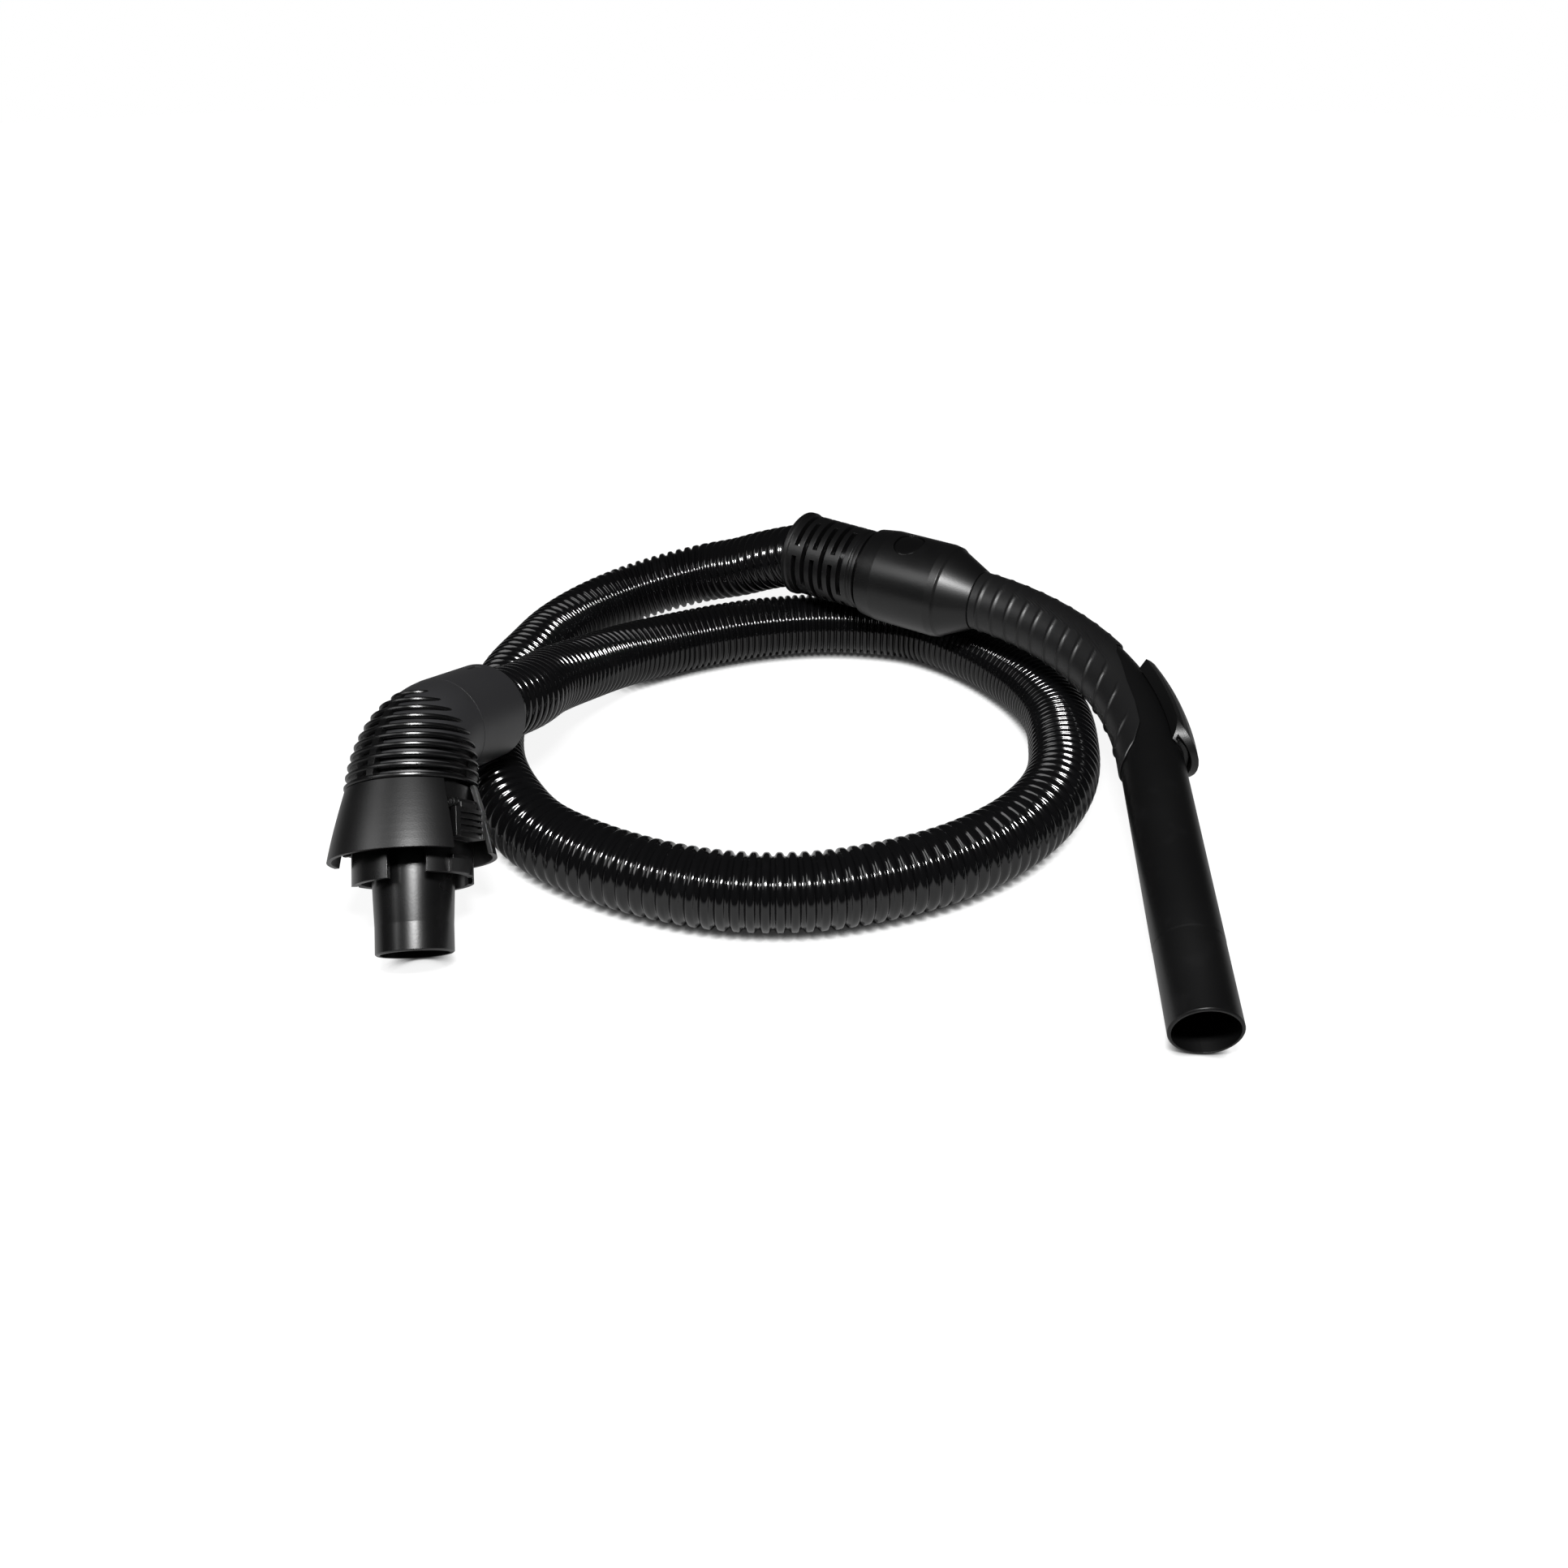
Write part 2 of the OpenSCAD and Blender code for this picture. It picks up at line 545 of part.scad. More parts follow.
// direction of the first column's slots, round the housing's axis
slot_turn = 51;
module slotted_cuff() {
  ring_length = 4;
  color(black) at_handle() difference() {
    along_housing() turned_outline([[0, 0], [guard_ring_od / 2 - 1, 0], [guard_ring_od / 2, 1],
      [guard_ring_od / 2, ring_length - 0.8], [guard_ring_od / 2 - 0.8, ring_length],
      [guard_wall_r + 0.6, ring_length], [guard_wall_r, slot_first + slot_columns * slot_pitch],
      [guard_wall_r - 1, slot_first + slot_columns * slot_pitch + 0.8],
      [guard_wall_r - 1, slot_first + slot_columns * slot_pitch + 2.2],
      [guard_wall_r, slot_first + slot_columns * slot_pitch + 3], [guard_wall_r, guard_length],
      [neck_od / 2, guard_length], [neck_od / 2, guard_length + neck_length], [0, guard_length + neck_length]]);
    along_housing(-1) cylinder(r = guard_bore_r, h = guard_length - 2 + 1);
    along_housing() cylinder(r = neck_bore_r, h = 2 * guard_length);
    along_housing(neck_clip_x) tube(neck_od / 2 + 1, neck_od / 2 - neck_groove, 0, neck_clip_thick + 2 * seat);
    along_housing(neck_seal_x) tube(neck_od / 2 + 1, neck_od / 2 - neck_groove, 0, neck_seal_thick + 2 * seat);
    for (c = [0 : slot_columns - 1]) for (i = [0 : slots_round - 1])
      rotate([slot_turn + (i + (c % 2) / 2) * 360 / slots_round, 0, 0])
        along_housing(slot_first + c * slot_pitch) slot_cut();
  }
}
// a slot that is long round the cuff
module slot_cut() {
  half = slot_share * 180 / slots_round;
  linear_extrude(slot_wide) polygon(concat([for (k = [-3 : 3]) guard_od * [cos(k * half / 3), sin(k * half / 3)]],
    [for (k = [3 : -1 : -3]) hose_od / 2 * [cos(k * half / 3), sin(k * half / 3)]]));
}
module hose_socket_handle() {
  shoulder = guard_seat - 2 - seat;
  color(gloss) at_handle() along_housing(guard_hose_x) difference() {
    translate([0, 0, -8]) cylinder(r = guard_bore_r - seat, h = 8 + shoulder);
    translate([0, 0, -9]) cylinder(r = neck_bore_r, h = 20);
    translate([0, 0, -10]) cylinder(r = hose_od / 2 + 0.3, h = 10);
  }
}
housing_x = guard_length + 2;
housing_end = housing_x + housing_length;
cone_end = housing_end + cone_length;
housing_bore_r = neck_od / 2 + running;
housing_wall = 3.2;
pipe_r = pipe_od / 2;
pipe_start = housing_end - 10;
module handle_housing() {
  r = housing_od / 2;
  clip_r = housing_bore_r + neck_groove - 0.15;
  cavity_x = guard_length + neck_length + 1;
  color(black) at_handle() difference() {
    union() {
      along_housing() turned_outline([[0, housing_x], [guard_wall_r + 0.4, housing_x],
        [guard_wall_r + 2.2, housing_x + 1], [r - 0.9, housing_x + 5], [r, housing_x + 12],
        [r, housing_end - 6], [r - 0.8, housing_end - 1.5], [r - 2, housing_end],
        [grip_od / 2 + 0.6, cone_end], [0, cone_end]]);
    }
    difference() {
      along_housing() turned_outline([[0, cavity_x], [r - housing_wall, cavity_x],
        [r - housing_wall, housing_end - 9], [0, housing_end - 9]]);
      button_cup();
    }
    along_housing(housing_x - 1) cylinder(r = housing_bore_r, h = cavity_x - housing_x + 1.5);
    along_housing(neck_clip_x) tube(clip_r, housing_bore_r - 1, 0, neck_clip_thick + 2 * seat);
    along_housing(housing_end - 12) cylinder(r = pipe_r - pipe_wall, h = 40);
    along_housing(pipe_start) cylinder(r = pipe_r + 2 * seat, h = 60);
    button_space();
    pin_pair(pipe_pin_r + seat, pipe_r - 2, pipe_pin_top + seat);
  }
}
// stadium-shaped post or pocket of the lock button, standing along +Z
module button_shape(grow, low, high) {
  r = button_d / 2 + grow;
  translate([button_x, 0, low]) {
    for (end = [-1, 1]) translate([0, end * button_stretch / 2, 0]) cylinder(r = r, h = high - low);
    translate([-r, -button_stretch / 2, 0]) cube([2 * r, button_stretch, high - low]);
  }
}
button_x = guard_length + neck_length + 2.8 + button_d / 2 + 1.6;
button_floor = neck_od / 2 + 0.2;
button_top = housing_od / 2 - 0.5;
stem_r = 3;
module button_cup() { button_shape(1.8, button_floor - 1.8, housing_od); }
module button_space() {
  button_shape(running, button_floor, housing_od);
  translate([button_x, 0, 0]) cylinder(r = stem_r + running, h = housing_od);
}
cap_thick = 2.4;
module lock_button() {
  stem_low = button_floor - 1.8 - button_travel;
  color(black) at_handle() union() {
    intersection() {
      button_shape(0, button_top - cap_thick, housing_od);
      along_housing() cylinder(r = button_top, h = 2 * guard_length);
    }
    translate([button_x, 0, stem_low]) cylinder(r = stem_r, h = button_top - cap_thick - stem_low + eps);
  }
}
// coil spring under the button's cap
spring_wire = 0.7;
spring_r = 5;
spring_turns = 3;
spring_low = button_floor + spring_wire / 2 + 0.05;
spring_high = button_top - cap_thick - spring_wire / 2 - 0.05;
spring_rings = 8 * spring_turns;
spring_sides = 6;
function spring_at(i) = let (a = 360 * i / 8)
  [button_x + spring_r * cos(a), spring_r * sin(a), spring_low + (spring_high - spring_low) * i / spring_rings];
module lock_spring() {
  points = [for (i = [0 : spring_rings]) for (k = [0 : spring_sides - 1])
    let (a = 360 * i / 8, b = 360 * k / spring_sides, p = spring_at(i), w = spring_wire / 2)
    p + w * [cos(a) * cos(b), sin(a) * cos(b), sin(b)]];
  walls = [for (i = [0 : spring_rings - 1]) for (k = [0 : spring_sides - 1])
    let (j = (k + 1) % spring_sides, a = i * spring_sides + k, b = i * spring_sides + j)
    for (f = [[a, a + spring_sides, b], [b, a + spring_sides, b + spring_sides]]) f];
  caps = [for (k = [1 : spring_sides - 2]) for (f = [[0, k, k + 1],
    [spring_rings * spring_sides, spring_rings * spring_sides + k + 1, spring_rings * spring_sides + k]]) f];
  color(steel) at_handle() polyhedron(points = points, faces = concat(walls, caps));
}
module neck_seal() {
  color(soft) at_handle() along_housing(neck_seal_x)
    tube(housing_bore_r - 0.03, neck_od / 2 - neck_groove + seat, seat, seat + neck_seal_thick);
}
module neck_clip() {
  inner = neck_od / 2 - neck_groove + 0.15;
  outer = housing_bore_r + neck_groove - 0.15 - seat;
  color(steel) at_handle() along_housing(neck_clip_x) difference() {
    tube(outer, inner, seat, seat + neck_clip_thick);
    translate([inner - 1, -2, 0]) cube([8, 4, 2 * neck_clip_thick]);
  }
}

// ---- handle pipe, grip and air slider ----
pipe_bore_r = pipe_r - pipe_wall;
pipe_pin_r = 2.4;
pipe_pin_top = pipe_r + 4;
// two round pins across the housing that hold the handle pipe in it
module pin_pair(r, low, high) {
  for (side = [-1, 1]) rotate([side * 90, 0, 0]) translate([pipe_start + 6, 0, low]) cylinder(r = r, h = high - low);
}
module pipe_pins() { color(black) at_handle() pin_pair(pipe_pin_r, pipe_bore_r + 0.2, pipe_pin_top); }

// a curved piece that follows the handle's bend, with its cross-section drawn on the plane across the pipe:
// +X points out of the bend
module bend_swept(from, to) {
  translate([bend_start, -handle_radius, 0]) rotate([0, 0, 90 - to])
    rotate_extrude(angle = to - from) translate([handle_radius, 0]) children();
}
// points of an arc round the origin
arc_steps = 12;
function arc(r, from, to) = [for (i = [0 : arc_steps])
  let (a = from + (to - from) * i / arc_steps) r * [cos(a), sin(a)]];
// a place on the bend, with +X along the pipe and +Y out of the bend
module on_bend(a) {
  translate([bend_start + handle_radius * sin(a), handle_radius * (cos(a) - 1), 0]) rotate([0, 0, -a]) children();
}
port_x = -2.3;
port_length = 4;
port_width = 9;
module air_port() {
  at_wand(port_x) translate([0, pipe_bore_r - 3, -port_width / 2]) cube([port_length, slider_top, port_width]);
}
module handle_pipe() {
  color(black) at_handle() difference() {
    union() {
      along_housing() tube(pipe_r, pipe_bore_r, pipe_start + seat, bend_start + lap);
      bend_swept(0, handle_bend) difference() {
        circle(r = pipe_r - lap_step);
        circle(r = pipe_bore_r + lap_step);
      }
      at_wand() rotate([0, 90, 0]) turned_outline([[pipe_bore_r, -lap], [pipe_r, -lap],
        [pipe_r, wand_length - wand_land - 1], [wand_od / 2, wand_length - wand_land],
        [wand_od / 2, wand_length - edge], [wand_od / 2 - edge, wand_length], [pipe_bore_r, wand_length]]);
    }
    air_port();
    pin_pair(pipe_pin_r + seat, pipe_bore_r - 1, pipe_pin_top);
  }
}

// soft cover of the grip: ridged rings round the pipe that lean over along the bend, and an end that runs
// on along the inner side of the bend. t is the angle round the pipe from the outside of the bend
grip_sides = 24;
grip_r = grip_od / 2;
grip_bore_r = (pipe_r + seat) / cos(180 / grip_sides);
grip_low = cone_end + seat - bend_start;
bend_length = handle_radius * handle_bend * PI / 180;
ridge_wide = 5;
slashes = 3;
// the point of the handle's centre line at a length past the bend's start, and the way out of the bend there
function centre_at(s) = let (a = min(max(s / handle_radius * 180 / PI, 0), handle_bend),
  past = s < 0 ? s : max(0, s - bend_length))
  [bend_start + handle_radius * sin(a) + past * cos(a), handle_radius * (cos(a) - 1) - past * sin(a), 0];
function out_at(s) = let (a = min(max(s / handle_radius * 180 / PI, 0), handle_bend)) [sin(a), cos(a), 0];
function grip_point(s, t, r) = centre_at(s) + r * (cos(t) * out_at(s) + [0, 0, sin(t)]);
// the start lies along the housing's end face
function grip_start(t) = handle_radius * asin(grip_low / (handle_radius + grip_r * cos(t))) * PI / 180;
function grip_end(t) = bend_length + lookup(t > 180 ? 360 - t : t,
  [[0, -82], [60, -77], [78, -69], [98, -45], [107, -10], [125, 3], [150, 9], [180, 11]]);
// a ridge's place along the centre line, and how far it leans on along the inner side
function ridge_at(i) = lookup(11 * i / (grip_ridges - 1),
  [[0, 14], [4, 55.5], [7, 89], [8, 102], [9, 115], [10, 131], [11, 149]]);
function ridge_lean(i) = lookup(ridge_at(i), [[14, 1], [55, 4], [89, 9], [102, 12], [115, 15], [131, 18], [149, 24]]);
// the last few ridges are slashes on the inner side of the bend only
function ridge_share(i, t) = let (past = i - grip_ridges + slashes)
  past < 0 ? 0.65 - 0.35 * cos(t) : cos(t) < -0.2 - 0.15 * past ? 1 : 0;
// foot, crest (k = 0) and foot of a ridge; rings near the end draw together in front of it
function ridge_ring(i, k) = [for (j = [0 : grip_sides - 1]) let (t = 360 * j / grip_sides,
  s = min(ridge_at(i) - ridge_lean(i) * cos(t) + k * ridge_wide / 2, grip_end(t) - 0.6 * (3 * (grip_ridges - i) - k - 1)))
  grip_point(s, t, grip_r + (k == 0 ? ridge_height * ridge_share(i, t) : 0))];
// a ring at a share of the way from the start to the end
function share_ring(share, r) = [for (j = [0 : grip_sides - 1]) let (t = 360 * j / grip_sides)
  grip_point(grip_start(t) + (grip_end(t) - grip_start(t)) * share, t, r)];
module grip_cover() {
  outer = concat([share_ring(0, grip_r)],
    [for (i = [0 : grip_ridges - 1]) for (k = [-1, 0, 1]) ridge_ring(i, k)], [share_ring(1, grip_r)]);
  bore_steps = 16;
  bore = [for (i = [0 : bore_steps]) share_ring(i / bore_steps, grip_bore_r)];
  color(soft) at_handle() ringed_body(grip_sides, outer, bore);
}

// hard saddle on the outside of the bend, with a groove along each side that the slider hooks into
seat_r = 19;
seat_half = 49;
rail_r = 17.5;
slider_half = 55;
slider_tip = 7.5;
slider_from = handle_bend - degrees(slider_length - slider_tip, handle_radius);
hook_in = pipe_r + 0.5;
hook_depth = 5;
seat_past = 3;
ramp_rise = 27;
// how many degrees of a circle of radius r an arc of this length covers
function degrees(length, r) = length / r * 180 / PI;
module saddle_section(r) {
  groove_r = rail_r + air;
  in = pipe_r + seat;
  neck = seat_half - hook_depth;
  polygon(concat(arc(r, -seat_half, seat_half), arc(groove_r, seat_half, neck), arc(in, neck, -neck),
    arc(groove_r, -neck, -seat_half)));
}
module slider_seat() {
  color(black) at_handle() difference() {
    union() {
      bend_swept(slider_from + degrees(air, handle_radius), handle_bend) saddle_section(seat_r);
      at_wand(-lap) rotate([90, 0, 90]) linear_extrude(seat_past + lap) saddle_section(seat_r - 0.5);
    }
    air_port();
  }
}
module air_slider() {
  past = degrees(slider_tip, handle_radius);
  in = seat_r + air;
  edge_in = seat_half + degrees(air, seat_r);
  hook_to = seat_half - hook_depth + degrees(air, seat_r);
  plan_r = slider_top * sin(slider_half);
  color(black) at_handle() intersection() {
    difference() {
      bend_swept(slider_from, handle_bend + past)
        polygon(concat(arc(slider_top, -slider_half, slider_half), arc(hook_in, slider_half, hook_to),
          arc(rail_r, hook_to, edge_in), arc(in, edge_in, -edge_in), arc(rail_r, -edge_in, -hook_to),
          arc(hook_in, -hook_to, -slider_half)));
      on_bend(slider_from) translate([0, in + 0.6, -slider_top]) rotate([0, 0, ramp_rise])
        translate([-20, 0, 0]) cube([40, 20, 2 * slider_top]);
    }
    at_wand(slider_tip - plan_r) rotate([-90, 0, 0]) union() {
      cylinder(r = plan_r, h = 60);
      translate([-2 * slider_length, -plan_r, 0]) cube([2 * slider_length, 2 * plan_r, 60]);
    }
  }
}

// ---- nodes ----
hose();
elbow_pipe();
elbow_hood();
hose_socket_inlet();
socket_tab();
inlet_pipe();
latch_collar();
leg_seal();
retaining_clip();
front_skirt();
rear_skirt();
release_lever_right();
release_lever_left();
latch_pins();
latch_spring_right();
latch_spring_left();
slotted_cuff();
hose_socket_handle();
neck_seal();
neck_clip();
handle_housing();
lock_button();
lock_spring();
handle_pipe();
pipe_pins();
grip_cover();
slider_seat();
air_slider();
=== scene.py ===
"""Looks of a canister vacuum hose: ribbed hose, swivelling machine coupling and bent handle."""

import math

import bmesh
import bpy
from mathutils import Matrix, Vector


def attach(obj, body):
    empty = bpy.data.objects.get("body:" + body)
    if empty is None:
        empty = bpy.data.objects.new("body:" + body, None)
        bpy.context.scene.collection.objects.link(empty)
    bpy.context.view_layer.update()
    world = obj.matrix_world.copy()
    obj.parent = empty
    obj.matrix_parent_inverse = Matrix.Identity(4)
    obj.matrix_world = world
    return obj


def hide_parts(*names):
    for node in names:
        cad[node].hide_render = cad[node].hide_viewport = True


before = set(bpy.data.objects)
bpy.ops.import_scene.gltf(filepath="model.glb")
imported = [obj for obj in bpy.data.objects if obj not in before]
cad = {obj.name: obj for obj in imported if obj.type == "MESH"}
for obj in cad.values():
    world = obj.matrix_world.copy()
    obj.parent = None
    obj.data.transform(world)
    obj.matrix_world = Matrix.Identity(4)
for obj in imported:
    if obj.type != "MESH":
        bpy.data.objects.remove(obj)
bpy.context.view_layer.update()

MM = 0.001
scene = bpy.context.scene


# ---- places: the same frames as the part's source, in millimetres ----
def turned(angles):
    """Rotation by three angles in degrees, about X first and Z last."""
    ax, ay, az = (math.radians(a) for a in angles)
    return Matrix.Rotation(az, 4, "Z") @ Matrix.Rotation(ay, 4, "Y") @ Matrix.Rotation(ax, 4, "X")


HOME = Vector((-2.1, -5.9, 0))
ELBOW = Matrix.Translation((-178.1, -78.9, 83.209)) @ turned((-25, 39, 60))
ELBOW_BEND = math.radians(65)
CUFF = ELBOW @ Matrix.Rotation(ELBOW_BEND, 4, "Y")
HANDLE = Matrix.Translation((9.9, 186.1, 67.371)) @ turned((12, 0.4, -34))
BEND_START = 121
BEND_RADIUS = 172
BEND_ANGLE = 60.5
BEND_LENGTH = BEND_RADIUS * math.radians(BEND_ANGLE)


def on_bend(length):
    """The pipe's frame at a length past the bend's start: X runs along it, Y out of the bend."""
    a = min(max(length, 0), BEND_LENGTH) / BEND_RADIUS
    past = length if length < 0 else max(0, length - BEND_LENGTH)
    x = BEND_START + BEND_RADIUS * math.sin(a) + past * math.cos(a)
    y = BEND_RADIUS * (math.cos(a) - 1) - past * math.sin(a)
    return HANDLE @ Matrix.Translation((x, y, 0)) @ Matrix.Rotation(-a, 4, "Z")


# ---- camera ----
camera = bpy.data.objects.new("camera", bpy.data.cameras.new("camera"))
scene.collection.objects.link(camera)
scene.camera = camera
camera.location = (-0.0021, -0.6059, 0.3961)
camera.rotation_euler = (math.radians(57.355), 0, 0)
camera.data.lens = 29.81
camera.data.sensor_width = 36
camera.data.clip_start = 0.01
camera.data.clip_end = 50


# ---- meshes ----
def circle(sides):
    """The angles of a ring's points."""
    return [2 * math.pi * i / sides for i in range(sides)]


def join_rings(bm, low, high):
    """A band of faces between two rings of points."""
    for i in range(len(low)):
        j = (i + 1) % len(low)
        bm.faces.new((low[i], low[j], high[j], high[i]))


def placed(bm, name, skin, smooth=True):
    """A bmesh as an object in the scene."""
    mesh = bpy.data.meshes.new(name)
    bm.to_mesh(mesh)
    bm.free()
    for face in mesh.polygons:
        face.use_smooth = smooth
    mesh.materials.append(skin)
    piece = bpy.data.objects.new(name, mesh)
    scene.collection.objects.link(piece)
    return piece


def ringed(name, rings, body, skin, capped=False):
    """A closed piece that rides on a body, from rings in millimetres that follow each other.

    The first and the last ring are capped, or else joined to each other.
    """
    bm = bmesh.new()
    rows = [[bm.verts.new(p) for p in ring] for ring in rings]
    for low, high in zip(rows, rows[1:]):
        join_rings(bm, low, high)
    if capped:
        bm.faces.new(rows[0])
        bm.faces.new(rows[-1])
    else:
        join_rings(bm, rows[-1], rows[0])
    bmesh.ops.recalc_face_normals(bm, faces=bm.faces[:])
    bm.transform(Matrix.Scale(MM, 4))
    piece = placed(bm, name, skin)
    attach(piece, body)
    return piece


# ---- shader nodes ----
def feed(tree, socket, value):
    """Links an input to an output, or sets it to a number or colour."""
    if isinstance(value, bpy.types.NodeSocket):
        tree.links.new(value, socket)
    else:
        socket.default_value = value


def noise(tree, where, scale, detail):
    node = tree.nodes.new("ShaderNodeTexNoise")
    for label, value in (("Vector", where), ("Scale", scale), ("Detail", detail)):
        feed(tree, node.inputs[label], value)
    return node.outputs["Fac"]


def ranged(tree, value, low, high, to_low=0.0, to_high=1.0):
    """A value that runs from to_low to to_high while the given one runs from low to high."""
    node = tree.nodes.new("ShaderNodeMapRange")
    for label, given in (("Value", value), ("From Min", low), ("From Max", high),
                         ("To Min", to_low), ("To Max", to_high)):
        feed(tree, node.inputs[label], given)
    return node.outputs["Result"]


def calculated(tree, operation, a, b):
    node = tree.nodes.new("ShaderNodeMath")
    node.operation = operation
    feed(tree, node.inputs[0], a)
    feed(tree, node.inputs[1], b)
    return node.outputs[0]


# the mix node's sockets for each kind of value: its two inputs and its output
MIX_SOCKETS = {"FLOAT": (2, 3, 0), "RGBA": (6, 7, 2)}


def mixed(tree, factor, a, b, kind="RGBA"):
    """A blend from a to b of two colours, or of two numbers when the kind is FLOAT."""
    node = tree.nodes.new("ShaderNodeMix")
    node.data_type = kind
    in_a, in_b, out = MIX_SOCKETS[kind]
    feed(tree, node.inputs["Factor"], factor)
    feed(tree, node.inputs[in_a], a)
    feed(tree, node.inputs[in_b], b)
    return node.outputs[out]


def new_skin(name):
    """A new material, its node tree and the inputs of its shader."""
    skin = bpy.data.materials.new(name)
    skin.use_nodes = True
    return skin, skin.node_tree, skin.node_tree.nodes["Principled BSDF"].inputs


# ---- materials ----
SURFACE_INPUTS = {"Colour": "Color", "Rubbed": "Color", "Gloss low": "Float",
                  "Gloss high": "Float", "Grain scale": "Float", "Rub amount": "Float"}
SURFACE_OUTPUTS = {"Colour": "Color", "Roughness": "Float", "Height": "Float"}


def make_surface():
    """Moulded surface: fine grain, slow changes of gloss, and lighter rubbed places."""
    tree = bpy.data.node_groups.new("moulded_surface", "ShaderNodeTree")
    for side, sockets in (("INPUT", SURFACE_INPUTS), ("OUTPUT", SURFACE_OUTPUTS)):
        for label, kind in sockets.items():
            tree.interface.new_socket(name=label, in_out=side, socket_type="NodeSocket" + kind)
    given = tree.nodes.new("NodeGroupInput").outputs
    out = tree.nodes.new("NodeGroupOutput").inputs
    where = tree.nodes.new("ShaderNodeTexCoord").outputs["Object"]
    broad = noise(tree, where, 18.0, 3.0)
    fine = noise(tree, where, given["Grain scale"], 2.0)
    patches = ranged(tree, noise(tree, where, 60.0, 6.0), 0.58, 0.72)
    rub = calculated(tree, "MULTIPLY", patches, given["Rub amount"])
    roughness = ranged(tree, broad, 0.3, 0.7, given["Gloss low"], given["Gloss high"])
    feed(tree, out["Colour"], mixed(tree, rub, given["Colour"], given["Rubbed"]))
    feed(tree, out["Roughness"], roughness)
    feed(tree, out["Height"], fine)
    return tree


SURFACE = make_surface()
BLACK = (0.002, 0.002, 0.0021)
RUBBED = (0.005, 0.005, 0.0053)


def moulded(name, gloss, grain, depth, colour=BLACK, rubbed=RUBBED, rub=0.3, edge=0.5,
            specular=0.5):
    """Moulded plastic or rubber.

    gloss is the least and the greatest roughness, depth the grain's height in mm, and edge the
    radius of the worn edges in mm.
    """
    skin, tree, shader = new_skin(name)
    surface = tree.nodes.new("ShaderNodeGroup")
    surface.node_tree = SURFACE
    for label, value in (("Colour", (*colour, 1)), ("Rubbed", (*rubbed, 1)),
                         ("Gloss low", gloss[0]), ("Gloss high", gloss[1]),
                         ("Grain scale", grain), ("Rub amount", rub)):
        surface.inputs[label].default_value = value
    normal = None
    if edge:
        bevel = tree.nodes.new("ShaderNodeBevel")
        bevel.samples = 4
        bevel.inputs["Radius"].default_value = edge * MM
        normal = bevel.outputs["Normal"]
    if depth:
        bump = tree.nodes.new("ShaderNodeBump")
        bump.inputs["Strength"].default_value = 1.0
        bump.inputs["Distance"].default_value = depth * MM
        feed(tree, bump.inputs["Height"], surface.outputs["Height"])
        if normal:
            feed(tree, bump.inputs["Normal"], normal)
        normal = bump.outputs["Normal"]
    if normal:
        feed(tree, shader["Normal"], normal)
    feed(tree, shader["Base Color"], surface.outputs["Colour"])
    feed(tree, shader["Roughness"], surface.outputs["Roughness"])
    feed(tree, shader["Specular IOR Level"], specular)
    return skin


def make_steel():
    """Drawn spring wire."""
    skin, tree, shader = new_skin("spring_steel")
    where = tree.nodes.new("ShaderNodeTexCoord").outputs["Object"]
    drawn = noise(tree, where, 1400.0, 4.0)
    cloud = noise(tree, where, 300.0, 3.0)
    tint = mixed(tree, cloud, (0.42, 0.42, 0.43, 1), (0.58, 0.58, 0.6, 1))
    feed(tree, shader["Metallic"], 1.0)
    feed(tree, shader["Roughness"], ranged(tree, drawn, 0.3, 0.7, 0.22, 0.38))
    feed(tree, shader["Base Color"], tint)
    return skin


hose_gloss = moulded("hose_gloss", (0.08, 0.13), grain=500, depth=0, edge=0,
                     colour=(0.002, 0.002, 0.0022), rubbed=(0.006, 0.006, 0.0065))
body_satin = moulded("body_satin", (0.32, 0.4), grain=1500, depth=0.03)
hood_satin = moulded("hood_satin", (0.22, 0.3), grain=1500, depth=0.02, specular=0.4)
cuff_matte = moulded("cuff_matte", (0.44, 0.52), grain=1800, depth=0.02, edge=0.6, specular=0.6,
                     colour=(0.012, 0.012, 0.013))
pipe_semigloss = moulded("pipe_semigloss", (0.24, 0.34), grain=900, depth=0.015, edge=0.4,
                         specular=0.6)
wand_satin = moulded("wand_satin", (0.34, 0.42), grain=1500, depth=0.03, rub=0.4, specular=0.3)
button_satin = moulded("button_satin", (0.2, 0.28), grain=1200, depth=0.02)
grip_soft = moulded("grip_soft", (0.4, 0.48), grain=2200, depth=0.05, rub=0.4, edge=0,
                    specular=0.45, colour=(0.004, 0.004, 0.0042))
seal_soft = moulded("seal_soft", (0.6, 0.7), grain=1200, depth=0.05, edge=0.2, specular=0.3,
                    colour=(0.01, 0.01, 0.011))
spring_steel = make_steel()

